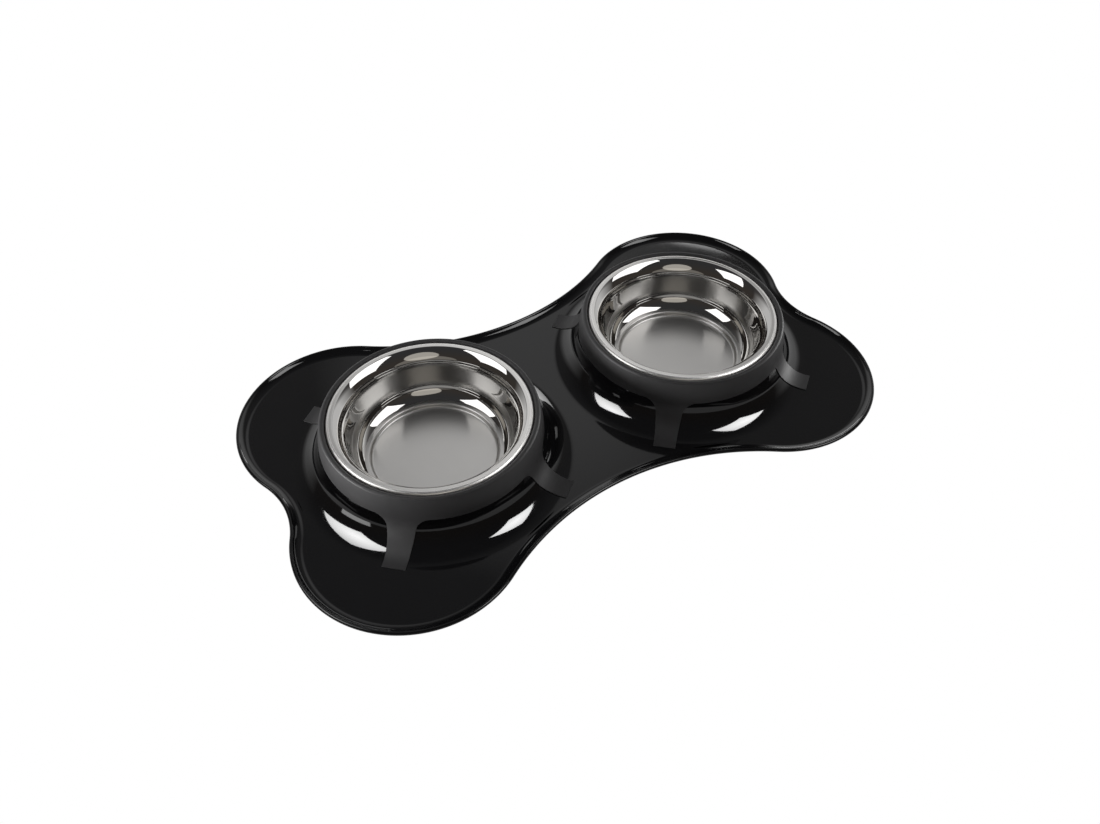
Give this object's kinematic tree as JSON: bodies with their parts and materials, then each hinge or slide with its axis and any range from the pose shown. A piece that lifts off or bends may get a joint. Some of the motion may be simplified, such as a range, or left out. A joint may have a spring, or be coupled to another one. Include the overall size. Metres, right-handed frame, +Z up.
{
  "type": "double pet bowl",
  "caption": "Bone-shaped tray with raised wells, soft legged collars, lift-out steel bowls and rubber feet.",
  "frame": {"origin": "middle of the footprint, on the ground under the feet", "axes": "+X along the bone outline, towards the right bowl; +Y towards the back; +Z up"},
  "size_m": [0.435, 0.259, 0.045],
  "materials": {
    "tray_gloss_black": "high gloss injection moulded black",
    "collar_soft_grey": "matte soft-touch dark grey elastomer",
    "bowl_steel": "mirror polished wall, satin rim, ring and pressed disc",
    "foot_rubber": "matte black rubber"
  },
  "bodies": {
    "base": {"tray": "tray_gloss_black", "collar_left": "collar_soft_grey", "collar_right": "collar_soft_grey", "foot_front_left": "foot_rubber", "foot_front_right": "foot_rubber", "foot_back_left": "foot_rubber", "foot_back_right": "foot_rubber"},
    "bowl_left": {"bowl_left": "bowl_steel"},
    "bowl_right": {"bowl_right": "bowl_steel"}
  },
  "joints": [
    {"name": "bowl_left_lift", "type": "slide", "parent": "base", "child": "bowl_left", "axis": [0, 0, 1], "range_m": [0, 0.06]},
    {"name": "bowl_right_lift", "type": "slide", "parent": "base", "child": "bowl_right", "axis": [0, 0, 1], "range_m": [0, 0.06]}
  ]
}
